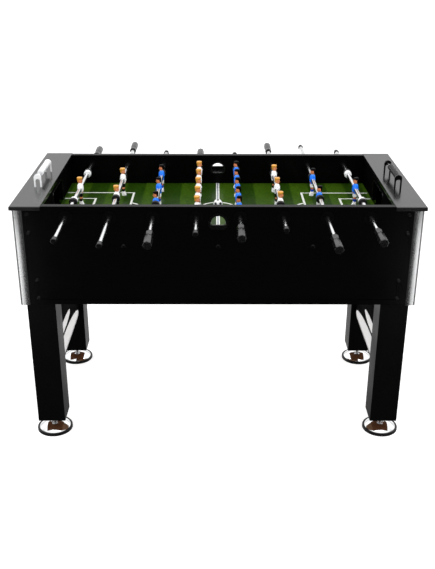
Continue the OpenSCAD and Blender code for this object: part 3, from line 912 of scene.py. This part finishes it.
def world():
    """White to the camera; to everything else bright behind and overhead, dark in front and low."""
    made = bpy.data.worlds.new("studio")
    bpy.context.scene.world = made
    made.use_nodes = True
    nodes, links = made.node_tree.nodes, made.node_tree.links
    place = nodes.new("ShaderNodeTexCoord")
    split = nodes.new("ShaderNodeSeparateXYZ")
    links.new(place.outputs["Generated"], split.inputs["Vector"])

    def join(kind, first, second):
        node = nodes.new("ShaderNodeMath")
        node.operation = kind
        links.new(first, node.inputs[0])
        links.new(second, node.inputs[1])
        return node.outputs["Value"]

    ramp = nodes.new("ShaderNodeValToRGB")
    stops = ((0.0, 0.02), (0.22, 0.05), (0.36, 0.95), (0.5, 0.7), (0.61, 0.5), (0.65, 0.72), (0.72, 1.0), (1.0, 0.9))
    first, last = ramp.color_ramp.elements
    first.position, first.color = stops[0][0], (stops[0][1],) * 3 + (1,)
    last.position, last.color = stops[-1][0], (stops[-1][1],) * 3 + (1,)
    for position, level in stops[1:-1]:
        ramp.color_ramp.elements.new(position).color = (level, level, level, 1)
    links.new(spread(made, split.outputs["Z"], -1, 1, 0, 1), ramp.inputs["Fac"])
    behind = spread(made, split.outputs["Y"], -0.3, 0.5, 0.03, 1.0)
    above = spread(made, split.outputs["Z"], 0.3, 0.8, 0.0, 0.9)
    value = join("MULTIPLY", join("MAXIMUM", behind, above), ramp.outputs["Color"])
    soft = nodes["Background"]
    soft.inputs["Color"].default_value = (1, 1, 1, 1)
    links.new(join("MULTIPLY", value, value_of(made, 1.5)), soft.inputs["Strength"])
    white = nodes.new("ShaderNodeBackground")
    white.inputs["Color"].default_value = (1, 1, 1, 1)
    white.inputs["Strength"].default_value = 1.2
    path = nodes.new("ShaderNodeLightPath")
    mix = nodes.new("ShaderNodeMixShader")
    links.new(path.outputs["Is Camera Ray"], mix.inputs["Fac"])
    links.new(soft.outputs["Background"], mix.inputs[1])
    links.new(white.outputs["Background"], mix.inputs[2])
    links.new(mix.outputs["Shader"], nodes["World Output"].inputs["Surface"])


def value_of(made, number):
    """The output of a value node."""
    node = made.node_tree.nodes.new("ShaderNodeValue")
    node.outputs[0].default_value = number
    return node.outputs[0]


def floor():
    """A plain white floor with a little light of its own, so that shadows on it stay pale."""
    mesh = bpy.data.meshes.new("floor")
    reach = 60
    mesh.from_pydata([(-reach, -reach, 0), (reach, -reach, 0), (reach, reach, 0), (-reach, reach, 0)], [],
                     [(0, 1, 2, 3)])
    made = shader("floor_white", (0.6, 0.6, 0.6), 0.9)
    bsdf = made.node_tree.nodes["Principled BSDF"]
    bsdf.inputs["Emission Color"].default_value = (1, 1, 1, 1)
    bsdf.inputs["Emission Strength"].default_value = 0.62
    bsdf.inputs["Specular IOR Level"].default_value = 0.0
    mesh.materials.append(made)
    obj = bpy.data.objects.new("floor", mesh)
    obj.visible_glossy = False
    bpy.context.scene.collection.objects.link(obj)


def soft_light(name, place, target, size, power, mirrored=True):
    """A rectangular light. One that is not mirrored lights matt surfaces only."""
    light = bpy.data.lights.new(name, "AREA")
    light.shape = "RECTANGLE"
    light.size, light.size_y = size
    light.energy = power
    obj = bpy.data.objects.new(name, light)
    obj.location = place
    obj.rotation_mode = "QUATERNION"
    obj.rotation_quaternion = (Vector(target) - Vector(place)).to_track_quat("-Z", "Y")
    obj.visible_camera = False
    obj.visible_glossy = mirrored
    bpy.context.scene.collection.objects.link(obj)


def lights():
    """One light overhead, three that matt surfaces alone see, and a low card beside each leg."""
    soft_light("overhead", (0, 0.2, 4.2), (0, 0, 0.8), (3.6, 2.4), 60)
    soft_light("key_right", (3.4, -2.2, 3.0), (0, 0, 0.8), (1.6, 1.6), 48, False)
    soft_light("fill_left", (-3.4, -2.2, 3.0), (0, 0, 0.8), (1.6, 1.6), 38, False)
    soft_light("fill_front", (0, -5.0, 2.6), (0, 0, 0.8), (4.0, 2.0), 120, False)
    for s, name in ((-1, "card_left"), (1, "card_right")):
        soft_light(name, (s * 1.2, -1.25, 0.25), (s * 0.9, -0.35, 0.25), (0.7, 0.56), 1.5)


def camera():
    """A short telephoto view from the near side, a little above the table."""
    eye = Matrix.Translation((-0.01259, -3.01989, 1.77051))
    pan, tilt_down, roll = math.radians(-0.26846), math.radians(24.554), math.radians(0.17436)
    data = bpy.data.cameras.new("camera")
    data.sensor_width = 36
    data.lens = 52.978
    data.shift_x = -0.00088
    data.shift_y = 0.03447
    data.clip_end = 200
    obj = bpy.data.objects.new("camera", data)
    turn = Matrix.Rotation(pan, 4, "Z") @ Matrix.Rotation(math.radians(90) - tilt_down, 4, "X")
    obj.matrix_world = eye @ turn @ Matrix.Rotation(roll, 4, "Z")
    bpy.context.scene.collection.objects.link(obj)
    bpy.context.scene.camera = obj
    bpy.context.scene.view_settings.view_transform = "Standard"


camera()
cabinet()
corner_trims()
field_lines()
ball()
goal_trims()
blade_shade_lines()
bolts()
feet()
men()
grips()
rods()
counters()
world()
floor()
lights()

bpy.context.view_layer.update()
